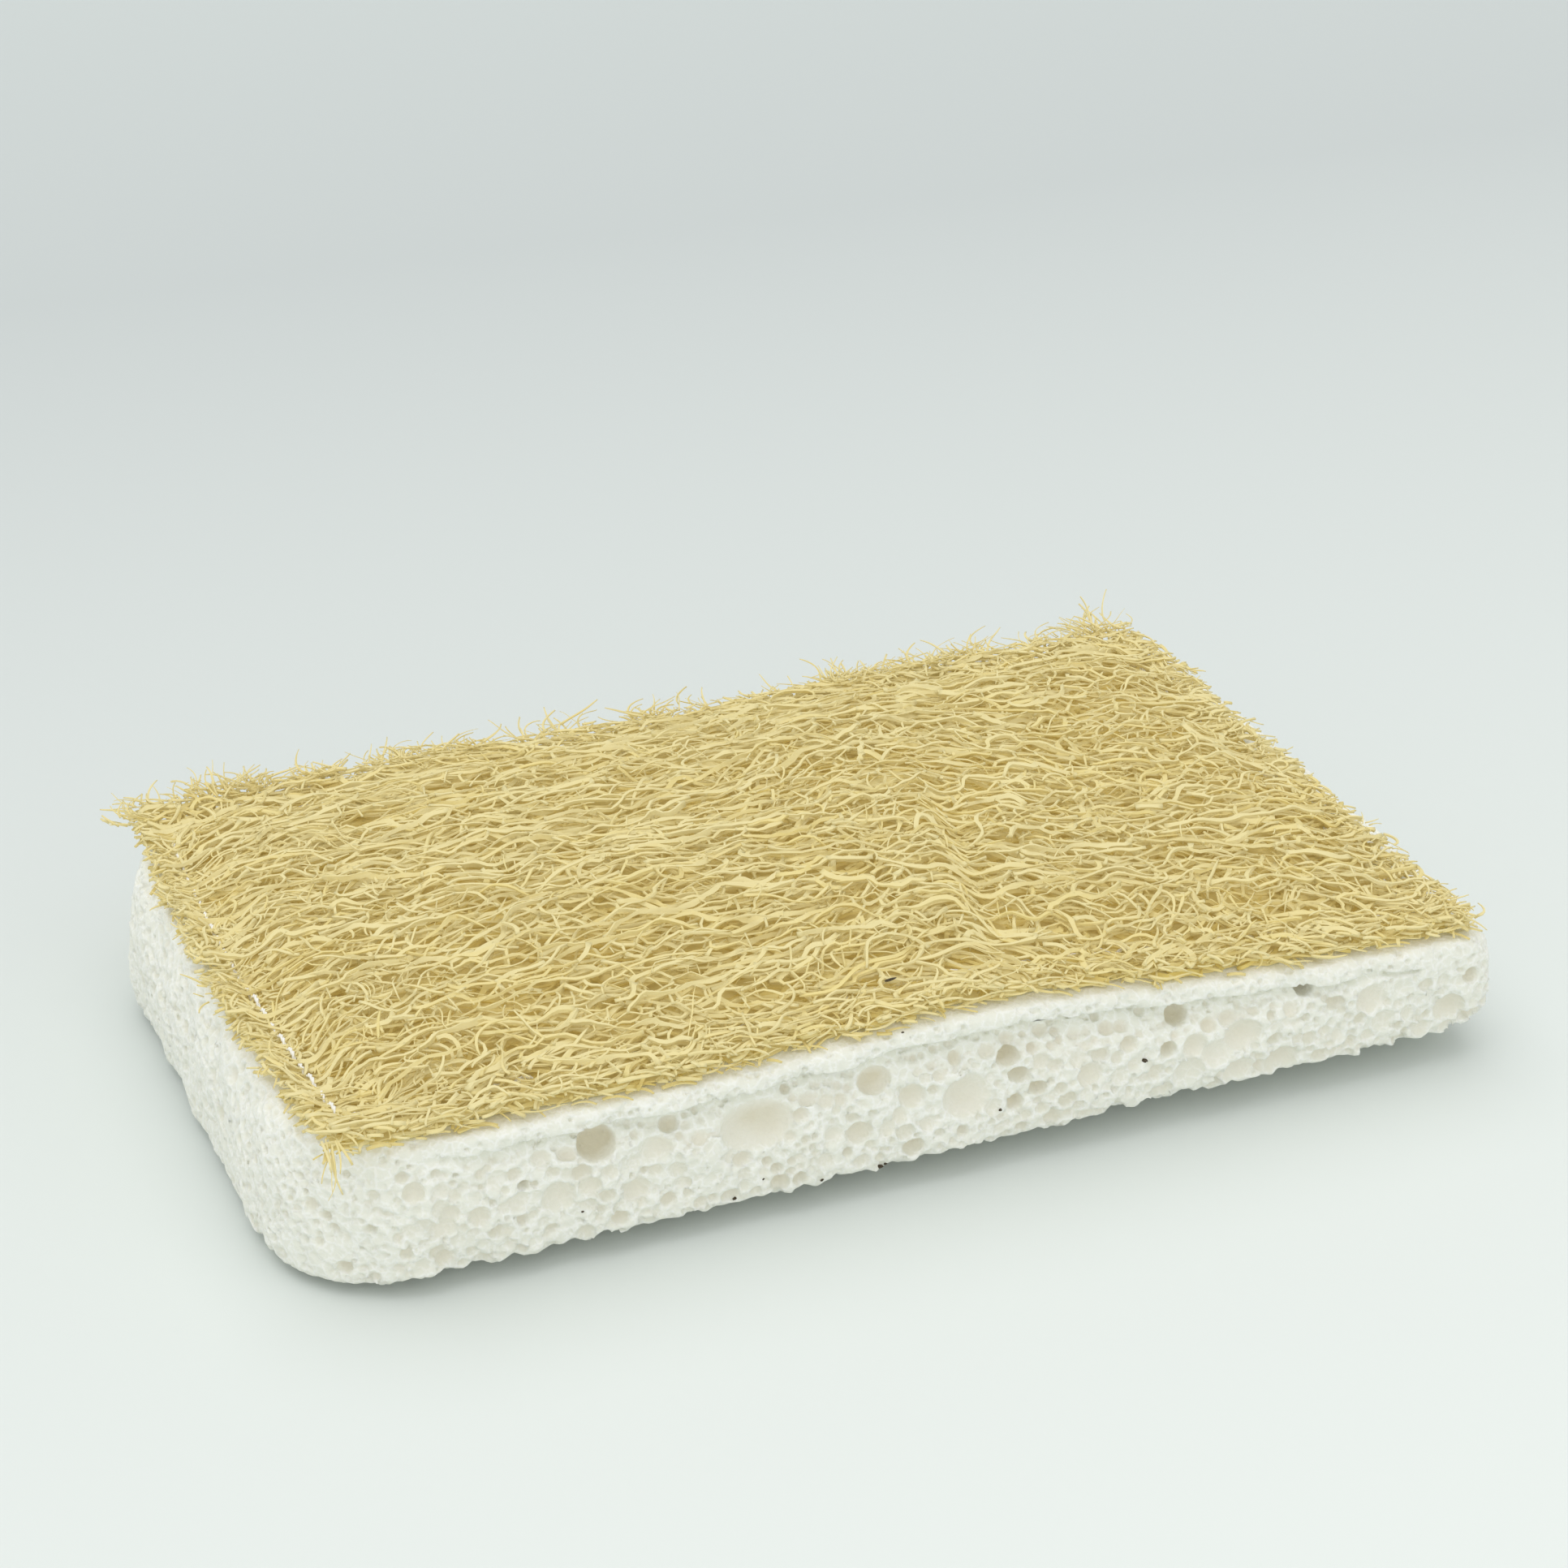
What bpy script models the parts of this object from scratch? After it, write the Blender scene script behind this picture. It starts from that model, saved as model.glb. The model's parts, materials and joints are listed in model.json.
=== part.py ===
# Kitchen loofah sponge: a white cellulose foam block with a loofah fibre mat sewn on top.
# Origin at the bottom centre of the object, +X along its length, -Y towards its slit face, +Z up.
# All sizes are in metres.

import math
import random

import bmesh
import bpy
from mathutils import Vector
from mathutils.bvhtree import BVHTree

# Loofah mat
PAD_LENGTH = 0.110
PAD_WIDTH = 0.068
PAD_THICKNESS = 0.0028
PAD_EDGE_THICKNESS = 0.0021
RIDGE_HEIGHT = 0.0010
RIDGE_PITCH = 0.0029
STRAND_WAVE = 0.0006
STRAND_WAVE_LENGTH = 0.037
GAP_LENGTH = 0.0080
GAP_WIDTH = 0.0017
GAP_PERIOD = 6
LEFT_BOW = 0.0017
LEFT_OFFSET = 0.0006
FRAY_LENGTH = 0.0011
FRAY_WIDTH = 0.0006
CORNER_TUFT = 0.0011

# Foam block
END_MARGIN = 0.00425
SIDE_MARGIN = 0.00075
SPONGE_LENGTH = PAD_LENGTH + 2 * END_MARGIN
SPONGE_WIDTH = PAD_WIDTH + 2 * SIDE_MARGIN
LEFT_CORNER_RADIUS = 0.0130
RIGHT_CORNER_RADIUS = 0.0055
SHOULDER = 0.0019
FOOT_TUCK = 0.0006
SEAT_EDGE_HEIGHT = 0.0155
SEAT_DOME = 0.0034
FRONT_ARCH = 0.0014
FRONT_ARCH_PLACE = 0.005
FRONT_ARCH_SPREAD = 0.017
FRONT_RIGHT_DROOP = 0.0018
BACK_RIGHT_RISE = 0.0010
LEFT_EDGE_LIFT = 0.0018
RIGHT_EDGE_LIFT = 0.0037
EDGE_LIFT_REACH = 0.0155

# Slit under the lip along the front face
LIP_THICKNESS = 0.0019
SLIT_DEPTH = 0.0021
SLIT_MOUTH = 0.0026
SLIT_LEFT_END = 0.0075
SLIT_RIGHT_END = 0.0105

# Large pores of the front face: along X from the middle, up from mid-height, radius, depth
FRONT_PORES = (
    (-0.0390, 0.0007, 0.0006, 0.0012),
    (-0.0322, 0.0028, 0.0018, 0.0022),
    (-0.0271, 0.0011, 0.0016, 0.0009),
    (-0.0177, 0.0013, 0.0034, 0.0013),
    (-0.0097, 0.0047, 0.0012, 0.0011),
    (-0.0080, -0.0022, 0.0013, 0.0010),
    (-0.0065, 0.0025, 0.0016, 0.0011),
    (-0.0029, 0.0000, 0.0013, 0.0009),
    (0.0025, -0.0012, 0.0026, 0.0010),
    (0.0064, 0.0017, 0.0012, 0.0018),
    (0.0237, 0.0025, 0.0012, 0.0018),
    (0.0348, -0.0041, 0.0019, 0.0011),
    (0.0369, 0.0030, 0.0010, 0.0020),
    (0.0437, 0.0009, 0.0018, 0.0010),
    (0.0526, -0.0022, 0.0017, 0.0010),
)
SMALL_PORE_SMALLEST = 0.0007
SMALL_PORE_LARGEST = 0.0014
SMALL_PORE_SPACING = 0.0062
SMALL_PORE_BAND = 0.0085

# Seam
SEAM_INSET_SIDE = 0.0048
SEAM_INSET_END = 0.0028
SEAM_THICKNESS = 0.0013
STITCH_PITCH = 0.0025
THREAD_DIAMETER = 0.0005
CLEARANCE = 0.0003

# Mesh fineness
PAD_EDGE_ROWS = 4
PAD_COLUMN_PITCH = 0.0040
SPONGE_COLUMNS = 22
SPONGE_ROWS = 14
SPONGE_LAYERS = 5
SLIT_STEPS = 18

SEED = 11


def smooth(value):
    value = min(max(value, 0.0), 1.0)
    return value * value * (3.0 - 2.0 * value)


def ripple(a, b):
    """An even, repeatable unevenness between -1 and 1."""
    return math.sin(12.9898 * a + 78.233 * b + 3.1 * math.sin(4.7 * a - 2.3 * b))


def seat_height(x, y):
    """Height of the face on which the mat lies."""
    u = x / (PAD_LENGTH / 2)
    v = y / (PAD_WIDTH / 2)
    dome = SEAT_DOME * max(0.0, 1.0 - u * u) * max(0.0, 1.0 - v * v)
    arch = FRONT_ARCH * math.exp(-(((x - FRONT_ARCH_PLACE) / FRONT_ARCH_SPREAD) ** 2))
    front_share = min(max((1.0 - v) / 2.0, 0.0), 1.0)
    right_share = smooth(u)
    front = (arch - FRONT_RIGHT_DROOP * right_share) * front_share
    back = BACK_RIGHT_RISE * right_share * (1.0 - front_share)
    return SEAT_EDGE_HEIGHT + dome + front + back


def foot_height(x, y):
    """Height of the underside: flat on the ground in the middle, drawn up all round by the seam."""
    end = smooth((SPONGE_LENGTH / 2 - abs(x)) / EDGE_LIFT_REACH)
    side = smooth((SPONGE_WIDTH / 2 - abs(y)) / EDGE_LIFT_REACH)
    lift = LEFT_EDGE_LIFT + (RIGHT_EDGE_LIFT - LEFT_EDGE_LIFT) * (x / SPONGE_LENGTH + 0.5)
    return lift * (1.0 - end * side)


def mat_place(x, y):
    """A point of the straight mat, moved with its bowed left end, and a little left of the middle."""
    u = x / (PAD_LENGTH / 2)
    v = y / (PAD_WIDTH / 2)
    return x - LEFT_OFFSET - LEFT_BOW * (1.0 - v * v) * smooth(-u), y


def lines(length, inset, outer_steps, inner_steps):
    """Grid lines across a length, with one on each seam line."""
    half = length / 2
    inner = half - inset
    outer = [-half + inset * i / outer_steps for i in range(outer_steps)]
    middle = [-inner + 2 * inner * i / inner_steps for i in range(inner_steps + 1)]
    return outer + middle + [-value for value in reversed(outer)]


def new_material(name, colour, roughness):
    material = bpy.data.materials.new(name)
    material.use_nodes = True
    shader = material.node_tree.nodes["Principled BSDF"]
    shader.inputs["Base Color"].default_value = (*colour, 1.0)
    shader.inputs["Roughness"].default_value = roughness
    shader.inputs["Metallic"].default_value = 0.0
    material.diffuse_color = (*colour, 1.0)
    return material


def new_object(name, bm, collection, material=None):
    mesh = bpy.data.meshes.new(name)
    bm.to_mesh(mesh)
    bm.free()
    obj = bpy.data.objects.new(name, mesh)
    collection.objects.link(obj)
    if material:
        mesh.materials.append(material)
    return obj


def new_cutter(name, bm, collection):
    cutter = new_object(name, bm, collection)
    cutter.hide_render = True
    cutter.display_type = "WIRE"
    return cutter


def cut_by_planes(bm, axis, places):
    normal = Vector((0.0, 0.0, 0.0))
    normal[axis] = 1.0
    for place in places:
        everything = bm.verts[:] + bm.edges[:] + bm.faces[:]
        bmesh.ops.bisect_plane(bm, geom=everything, dist=1e-7, plane_co=normal * place, plane_no=normal)


def rounded_corner(x, y, half_length, half_width):
    """A point of a square-cornered plan, moved onto the plan with round corners."""
    radius = LEFT_CORNER_RADIUS if x < 0 else RIGHT_CORNER_RADIUS
    a = (abs(x) - (half_length - radius)) / radius
    b = (abs(y) - (half_width - radius)) / radius
    if a <= 0.0 or b <= 0.0:
        return x, y
    across = half_length - radius + radius * a * math.sqrt(1.0 - b * b / 2.0)
    along = half_width - radius + radius * b * math.sqrt(1.0 - a * a / 2.0)
    return math.copysign(across, x), math.copysign(along, y)


def mid_height(x, y):
    return (seat_height(x, y) + foot_height(x, y)) / 2


def make_slit_cutter(collection):
    """A wedge under the lip: level on top, sloping back out to the face below."""
    left = -SPONGE_LENGTH / 2 + SLIT_LEFT_END
    right = SPONGE_LENGTH / 2 - SLIT_RIGHT_END
    front = -SPONGE_WIDTH / 2
    bm = bmesh.new()
    bmesh.ops.create_cube(bm, size=1.0)
    cut_by_planes(bm, 0, [i / SLIT_STEPS - 0.5 for i in range(1, SLIT_STEPS)])
    for vert in bm.verts:
        share = vert.co.x + 0.5
        x = left + (right - left) * share
        fade = smooth(4.0 * share) * smooth(4.0 * (1.0 - share))
        outside = vert.co.y < 0
        top = seat_height(x, front) - LIP_THICKNESS
        vert.co.x = x
        vert.co.y = front - SLIT_DEPTH if outside else front + SLIT_DEPTH * (0.25 + 0.75 * fade)
        if vert.co.z > 0:
            vert.co.z = top
        else:
            vert.co.z = top - CLEARANCE - (2.0 * SLIT_MOUTH * fade if outside else 0.0)
    bmesh.ops.recalc_face_normals(bm, faces=bm.faces)
    return new_cutter("slit_cutter", bm, collection)


def add_pore(bm, fineness, centre, radii):
    made = bmesh.ops.create_icosphere(bm, subdivisions=fineness, radius=1.0)
    for vert in made["verts"]:
        vert.co = Vector(vert.co[i] * radii[i] + centre[i] for i in range(3))


def make_pore_cutter(collection):
    """Large pores where the front face has them, and small ones round all four faces."""
    chance = random.Random(SEED)
    front = -SPONGE_WIDTH / 2
    bm = bmesh.new()
    for x, rise, radius, depth in FRONT_PORES:
        add_pore(bm, 2, (x, front, mid_height(x, front) + rise), (radius, depth, radius * 0.86))
    sides = (
        (SPONGE_LENGTH - 2 * LEFT_CORNER_RADIUS, lambda along: (along, front), 1),
        (SPONGE_LENGTH - 2 * LEFT_CORNER_RADIUS, lambda along: (along, -front), 1),
        (SPONGE_WIDTH - 2 * LEFT_CORNER_RADIUS, lambda along: (-SPONGE_LENGTH / 2, along), 0),
        (SPONGE_WIDTH - 2 * LEFT_CORNER_RADIUS, lambda along: (SPONGE_LENGTH / 2, along), 0),
    )
    for length, place, normal_axis in sides:
        count = round(length / SMALL_PORE_SPACING)
        for i in range(count):
            x, y = place(length * ((i + 0.5) / count - 0.5))
            radius = chance.uniform(SMALL_PORE_SMALLEST, SMALL_PORE_LARGEST)
            z = mid_height(x, y) + chance.uniform(-0.5, 0.5) * SMALL_PORE_BAND
            radii = [radius, radius, radius * 0.9]
            radii[normal_axis] = radius * 1.1
            add_pore(bm, 1, (x, y, z), radii)
    return new_cutter("pore_cutter", bm, collection)


def make_sponge(collection, cutters, material):
    """A block cut into a grid and moved to its pillow shape, then slit and pierced."""
    bm = bmesh.new()
    bmesh.ops.create_cube(bm, size=1.0)
    cut_by_planes(bm, 0, [i / SPONGE_COLUMNS - 0.5 for i in range(1, SPONGE_COLUMNS)])
    cut_by_planes(bm, 1, [i / SPONGE_ROWS - 0.5 for i in range(1, SPONGE_ROWS)])
    cut_by_planes(bm, 2, [i / SPONGE_LAYERS - 0.5 for i in range(1, SPONGE_LAYERS)])
    for vert in bm.verts:
        up = vert.co.z + 0.5
        half_length = SPONGE_LENGTH / 2 - SHOULDER * up**4 - FOOT_TUCK * (1.0 - up) ** 4
        half_width = SPONGE_WIDTH / 2 - FOOT_TUCK * (1.0 - up) ** 4
        x, y = vert.co.x * 2 * half_length, vert.co.y * 2 * half_width
        x, y = rounded_corner(x, y, half_length, half_width)
        foot = foot_height(x, y)
        seat = seat_height(x, y)
        vert.co = (x, y, foot + (seat - foot) * up)
    block = new_object("sponge_block", bm, collection, material)
    for cutter in cutters:
        cut = block.modifiers.new(cutter.name, "BOOLEAN")
        cut.operation = "DIFFERENCE"
        cut.solver = "EXACT"
        cut.use_self = True
        cut.object = cutter
    return block


def make_mat(collection, material):
    """A sheet of wavy ridges that part round almond gaps, thinned along the seam and frayed at its edges."""
    columns = round((PAD_LENGTH - 2 * SEAM_INSET_END) / PAD_COLUMN_PITCH)
    ridges = round((PAD_WIDTH - 2 * SEAM_INSET_SIDE) / RIDGE_PITCH)
    xs = lines(PAD_LENGTH, SEAM_INSET_END, 1, columns)
    ys = lines(PAD_WIDTH, SEAM_INSET_SIDE, PAD_EDGE_ROWS, 2 * ridges)
    last_column, last_row = len(xs) - 1, len(ys) - 1
    seam_columns = (1, last_column - 1)
    seam_rows = (PAD_EDGE_ROWS, last_row - PAD_EDGE_ROWS)

    bm = bmesh.new()
    column_of = bm.verts.layers.int.new("column")
    row_of = bm.verts.layers.int.new("row")
    bmesh.ops.create_grid(bm, x_segments=last_column, y_segments=last_row, size=0.5)
    grid = {}
    for vert in bm.verts:
        column = round((vert.co.x + 0.5) * last_column)
        row = round((vert.co.y + 0.5) * last_row)
        vert[column_of], vert[row_of] = column, row
        grid[column, row] = vert

    for (column, row), vert in grid.items():
        x, y = xs[column], ys[row]
        inside = seam_columns[0] < column < seam_columns[1] and seam_rows[0] < row < seam_rows[1]
        if inside:
            turn = 2 * math.pi * x / STRAND_WAVE_LENGTH
            y += STRAND_WAVE * math.sin(turn + 4.0 * y / PAD_WIDTH) * smooth((PAD_WIDTH / 2 - abs(y)) / 0.012)
        if column in (0, last_column):
            reach = FRAY_LENGTH if row % 2 else -0.4 * FRAY_LENGTH
            x += math.copysign(reach * (0.75 + 0.25 * ripple(row, column)), x)
        if row in (0, last_row):
            y += math.copysign(FRAY_WIDTH * ripple(column, row + 2), y)
        x, y = mat_place(x, y)
        vert.co = (x, y, 0.0)

    # Each gap opens where one point of the grid, between two ridges, is taken out.
    opened = []
    for row in range(seam_rows[0] + 2, seam_rows[1] - 1, 2):
        start = seam_columns[0] + 2 + (GAP_PERIOD // 2) * ((row // 2) % 2)
        for column in range(start, seam_columns[1] - 1, GAP_PERIOD):
            centre = grid[column, row]
            opened.append(centre)
            for side in (-1, 1):
                for step, share in ((-1, 0.5), (0, 1.0), (1, 0.5)):
                    edge = grid[column + step, row + side]
                    edge.co.y = grid[column + step, row].co.y + side * share * GAP_WIDTH / 2
                    edge.co.x = centre.co.x + step * 0.36 * GAP_LENGTH
                grid[column + side, row].co.x = centre.co.x + side * GAP_LENGTH / 2
    bmesh.ops.delete(bm, geom=opened, context="VERTS")

    made = bmesh.ops.extrude_face_region(bm, geom=bm.faces[:])
    upper = {item for item in made["geom"] if isinstance(item, bmesh.types.BMVert)}
    for vert in bm.verts:
        x, y = vert.co.x, vert.co.y
        column, row = vert[column_of], vert[row_of]
        floor = seat_height(x, y) + CLEARANCE
        if vert not in upper:
            vert.co.z = floor
            continue
        on_seam = (column in seam_columns and seam_rows[0] <= row <= seam_rows[1]) or (
            row in seam_rows and seam_columns[0] <= column <= seam_columns[1]
        )
        outside = column in (0, last_column) or row < seam_rows[0] or row > seam_rows[1]
        ridge = RIDGE_HEIGHT * (0.5 if row % 2 else -0.5)
        uneven = 0.25 * RIDGE_HEIGHT * ripple(column * 0.7, row * 1.3)
        if on_seam:
            thickness = SEAM_THICKNESS
        elif outside:
            thickness = PAD_EDGE_THICKNESS + 0.5 * ridge + uneven
        else:
            thickness = PAD_THICKNESS + ridge + uneven
        if column in (0, last_column) and row in (0, last_row):
            thickness += CORNER_TUFT
        vert.co.z = floor + thickness
    bmesh.ops.recalc_face_normals(bm, faces=bm.faces)
    return new_object("loofah_pad", bm, collection, material)


def seam_points():
    """Points of the seam in plan, one at every second stitch, and one at each corner."""
    half_x = PAD_LENGTH / 2 - SEAM_INSET_END
    half_y = PAD_WIDTH / 2 - SEAM_INSET_SIDE
    corners = [(-half_x, -half_y), (half_x, -half_y), (half_x, half_y), (-half_x, half_y)]
    points = []
    for i, (x0, y0) in enumerate(corners):
        x1, y1 = corners[(i + 1) % 4]
        count = max(1, round(math.dist((x0, y0), (x1, y1)) / (2 * STITCH_PITCH)))
        for j in range(count):
            points.append(mat_place(x0 + (x1 - x0) * j / count, y0 + (y1 - y0) * j / count))
    return points


def make_thread(name, carrier, above, collection, material):
    """A closed loop of thread that lies on the top or the underside of its carrier."""
    graph = bpy.context.evaluated_depsgraph_get()
    tree = BVHTree.FromObject(carrier, graph)
    radius = THREAD_DIAMETER / 2
    side = 1.0 if above else -1.0
    far = side * 10 * SEAT_EDGE_HEIGHT
    shell = 2 * radius
    offsets = [(a * shell, b * shell) for a in (-1, 0, 1) for b in (-1, 0, 1)]
    centres = []
    for x, y in seam_points():
        heights = []
        for dx, dy in offsets:
            hit = tree.ray_cast(Vector((x + dx, y + dy, far)), Vector((0.0, 0.0, -side)))[0]
            if hit:
                heights.append(side * hit.z)
        centres.append((x, y, side * (max(heights) + CLEARANCE + radius)))
    curve = bpy.data.curves.new(name, "CURVE")
    curve.dimensions = "3D"
    curve.bevel_depth = radius
    curve.bevel_resolution = 0
    spline = curve.splines.new("POLY")
    spline.points.add(len(centres) - 1)
    for point, centre in zip(spline.points, centres):
        point.co = (*centre, 1.0)
    spline.use_cyclic_u = True
    curve.materials.append(material)
    obj = bpy.data.objects.new(name, curve)
    collection.objects.link(obj)
    return obj


def main():
    for obj in list(bpy.data.objects):
        bpy.data.objects.remove(obj)
    parts = bpy.data.collections.new("kitchen_loofah_sponge")
    helpers = bpy.data.collections.new("cutters")
    bpy.context.scene.collection.children.link(parts)
    bpy.context.scene.collection.children.link(helpers)

    foam = new_material("cellulose foam", (0.84, 0.86, 0.83), 0.85)
    fibre = new_material("loofah fibre", (0.66, 0.50, 0.19), 0.75)
    thread = new_material("polyester thread", (0.86, 0.85, 0.80), 0.35)

    cutters = [make_slit_cutter(helpers), make_pore_cutter(helpers)]
    block = make_sponge(parts, cutters, foam)
    mat = make_mat(parts, fibre)
    bpy.context.view_layer.update()
    make_thread("needle_thread", mat, True, parts, thread)
    make_thread("bobbin_thread", block, False, parts, thread)


main()
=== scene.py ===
# Kitchen loofah sponge: a white cellulose foam block with a golden loofah mat sewn on top.
# Z up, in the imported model's frame: +X along the length, -Y towards the slit face.
# Sizes are in millimetres up to the point where a mesh is made, and in metres in the view and the materials.

import json
import math

import bpy
import numpy as np
import openvdb as vdb
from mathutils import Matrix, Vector
from mathutils.geometry import delaunay_2d_cdt

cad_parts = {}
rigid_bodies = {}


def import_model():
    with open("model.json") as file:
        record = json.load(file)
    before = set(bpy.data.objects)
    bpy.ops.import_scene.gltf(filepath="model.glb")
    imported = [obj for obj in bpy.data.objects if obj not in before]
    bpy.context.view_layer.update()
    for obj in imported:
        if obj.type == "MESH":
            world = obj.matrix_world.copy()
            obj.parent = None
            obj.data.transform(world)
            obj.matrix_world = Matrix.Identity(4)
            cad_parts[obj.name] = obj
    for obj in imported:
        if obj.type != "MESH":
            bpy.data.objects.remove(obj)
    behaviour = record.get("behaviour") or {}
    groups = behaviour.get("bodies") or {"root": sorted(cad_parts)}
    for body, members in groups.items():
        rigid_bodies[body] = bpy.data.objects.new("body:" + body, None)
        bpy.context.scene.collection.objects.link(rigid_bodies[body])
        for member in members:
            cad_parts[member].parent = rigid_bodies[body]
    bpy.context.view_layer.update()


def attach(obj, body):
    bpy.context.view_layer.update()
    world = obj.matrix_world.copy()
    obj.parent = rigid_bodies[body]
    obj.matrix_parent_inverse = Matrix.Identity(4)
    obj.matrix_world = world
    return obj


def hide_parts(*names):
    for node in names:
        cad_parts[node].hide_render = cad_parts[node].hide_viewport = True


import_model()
bpy.ops.object.select_all(action="DESELECT")


def toLinear(hexColour):
    channels = [int(hexColour[i:i + 2], 16) / 255 for i in (1, 3, 5)]
    return tuple(c / 12.92 if c <= 0.04045 else ((c + 0.055) / 1.055) ** 2.4 for c in channels) + (1.0,)


def addNode(tree, kind, inputs=None, **settings):
    # inputs maps a socket's name or number to a value, or to another node's output
    node = tree.nodes.new(kind)
    for name, value in settings.items():
        setattr(node, name, value)
    for name, value in (inputs or {}).items():
        if isinstance(value, bpy.types.NodeSocket):
            tree.links.new(value, node.inputs[name])
        else:
            node.inputs[name].default_value = value
    return node


def startMaterial(name):
    material = bpy.data.materials.new(name)
    material.use_nodes = True
    return material, material.node_tree, material.node_tree.nodes["Principled BSDF"]


def ramp(tree, factor, stops):
    node = addNode(tree, "ShaderNodeValToRGB", {"Fac": factor})
    elements = node.color_ramp.elements
    while len(elements) < len(stops):
        elements.new(0.5)
    for element, (place, colour) in zip(elements, stops):
        element.position = place
        element.color = toLinear(colour)
    return node


def ease(value):
    value = np.clip(value, 0.0, 1.0)
    return value * value * (3.0 - 2.0 * value)


def waves(chance, wavelengthX, wavelengthY, count=14):
    # a smooth random field of roughly unit size, as a sum of sines
    turn = chance.uniform(0, 2 * math.pi, count)
    size = chance.uniform(0.6, 1.5, count)
    kx = 2 * math.pi / wavelengthX * np.cos(turn) * size
    ky = 2 * math.pi / wavelengthY * np.sin(turn) * size
    phase = chance.uniform(0, 2 * math.pi, count)

    def field(x, y):
        total = np.zeros(np.broadcast(x, y).shape)
        for a, b, c in zip(kx, ky, phase):
            total += np.sin(a * x + b * y + c)
        return total * math.sqrt(2 / count)

    return field


def meshObject(name, points, faces, material, smooth=True):
    mesh = bpy.data.meshes.new(name)
    mesh.vertices.add(len(points))
    mesh.vertices.foreach_set("co", np.asarray(points, np.float32).ravel())
    if isinstance(faces, list):  # faces of unequal size
        sizes, flat = np.array([len(f) for f in faces]), np.concatenate(faces)
    else:
        sizes, flat = np.full(len(faces), faces.shape[1]), faces.ravel()
    mesh.loops.add(len(flat))
    mesh.loops.foreach_set("vertex_index", flat.astype(np.int32))
    mesh.polygons.add(len(sizes))
    mesh.polygons.foreach_set("loop_start", (np.cumsum(sizes) - sizes).astype(np.int32))
    mesh.polygons.foreach_set("use_smooth", np.full(len(sizes), smooth))
    mesh.update(calc_edges=True)
    mesh.validate()
    mesh.materials.append(material)
    obj = bpy.data.objects.new(name, mesh)
    bpy.context.scene.collection.objects.link(obj)
    return obj


def setAttribute(obj, name, values):
    attribute = obj.data.attributes.new(name, "FLOAT", "POINT")
    attribute.data.foreach_set("value", np.asarray(values, np.float32))


# Camera, floor and light
view = {
    "aim": (0.01307, 0.03246, 0.0076),
    "azimuth": -22.89,
    "elevation": 25.64,
    "distance": 0.3685,
    "lens": 80.12,
    "floorColour": "#E5EBE7",
    # the far and back colours are painted shade that greys the paper towards the back
    "farColour": "#C6CCCB",
    "backColour": "#D0D8D5",
    "overheadPower": 1.0,
    "overheadSpread": 70,
    "frontPower": 0.98,
    "frontSpread": 110,
    "skyColour": "#FFFFFF",
    "skyStrength": 0.60,
}


def setView():
    cameraData = bpy.data.cameras.new("camera")
    camera = bpy.data.objects.new("camera", cameraData)
    bpy.context.scene.collection.objects.link(camera)
    cameraData.lens = view["lens"]
    cameraData.sensor_width = 36
    cameraData.clip_start = 0.01
    a, e = math.radians(view["azimuth"]), math.radians(view["elevation"])
    back = Vector((math.sin(a) * math.cos(e), -math.cos(a) * math.cos(e), math.sin(e)))
    camera.location = Vector(view["aim"]) + view["distance"] * back
    camera.rotation_euler = back.to_track_quat("Z", "Y").to_euler()
    bpy.context.scene.camera = camera


def paperMaterial():
    # a matt white paper sweep, painted a little greyer towards the back as painted shade where less light
    # reaches it
    material, tree, shader = startMaterial("matt white background paper")
    place = addNode(tree, "ShaderNodeTexCoord").outputs["Object"]
    back = addNode(tree, "ShaderNodeSeparateXYZ", {"Vector": place}).outputs["Y"]
    far = addNode(tree, "ShaderNodeMapRange", {"Value": back, "From Min": -0.1, "From Max": 0.9})
    tone = ramp(tree, far.outputs["Result"],
                [(0.0, view["floorColour"]), (0.35, view["farColour"]), (1.0, view["backColour"])])
    tree.links.new(tone.outputs["Color"], shader.inputs["Base Color"])
    shader.inputs["Roughness"].default_value = 0.9
    shader.inputs["Specular IOR Level"].default_value = 0.1
    return material


def setStage():
    # one sheet that lies flat, a hair below the sponge, and curves up far behind it
    rows, halfWidth, sink = 60, 3.0, 0.00002
    along = np.linspace(-1.6, 2.4, rows)
    rise = 1.1 * ease((along - 0.45) / 1.5) ** 1.2
    points = [(side * halfWidth, y, z - sink) for y, z in zip(along, rise) for side in (-1, 1)]
    faces = np.array([(2 * i, 2 * i + 1, 2 * i + 3, 2 * i + 2) for i in range(rows - 1)])
    sweep = meshObject("backgroundSweep", points, faces, paperMaterial())
    sweep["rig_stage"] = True


def addSoftSun(name, towards, strength, spread):
    bpy.ops.object.light_add(type="SUN", location=(0, 0, 0.5))
    lamp = bpy.context.object
    lamp.name = name
    lamp.data.energy = strength
    lamp.data.angle = math.radians(spread)
    lamp.rotation_euler = Vector(towards).to_track_quat("Z", "Y").to_euler()


def setLight():
    addSoftSun("overheadSoftbox", (-0.10, 0.25, 1.0), view["overheadPower"], view["overheadSpread"])
    addSoftSun("frontFill", (-0.25, -1.0, 0.65), view["frontPower"], view["frontSpread"])
    world = bpy.data.worlds.new("studio")
    bpy.context.scene.world = world
    world.use_nodes = True
    background = world.node_tree.nodes["Background"]
    background.inputs["Color"].default_value = toLinear(view["skyColour"])
    background.inputs["Strength"].default_value = view["skyStrength"]
    bpy.context.scene.view_settings.view_transform = "Standard"


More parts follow.
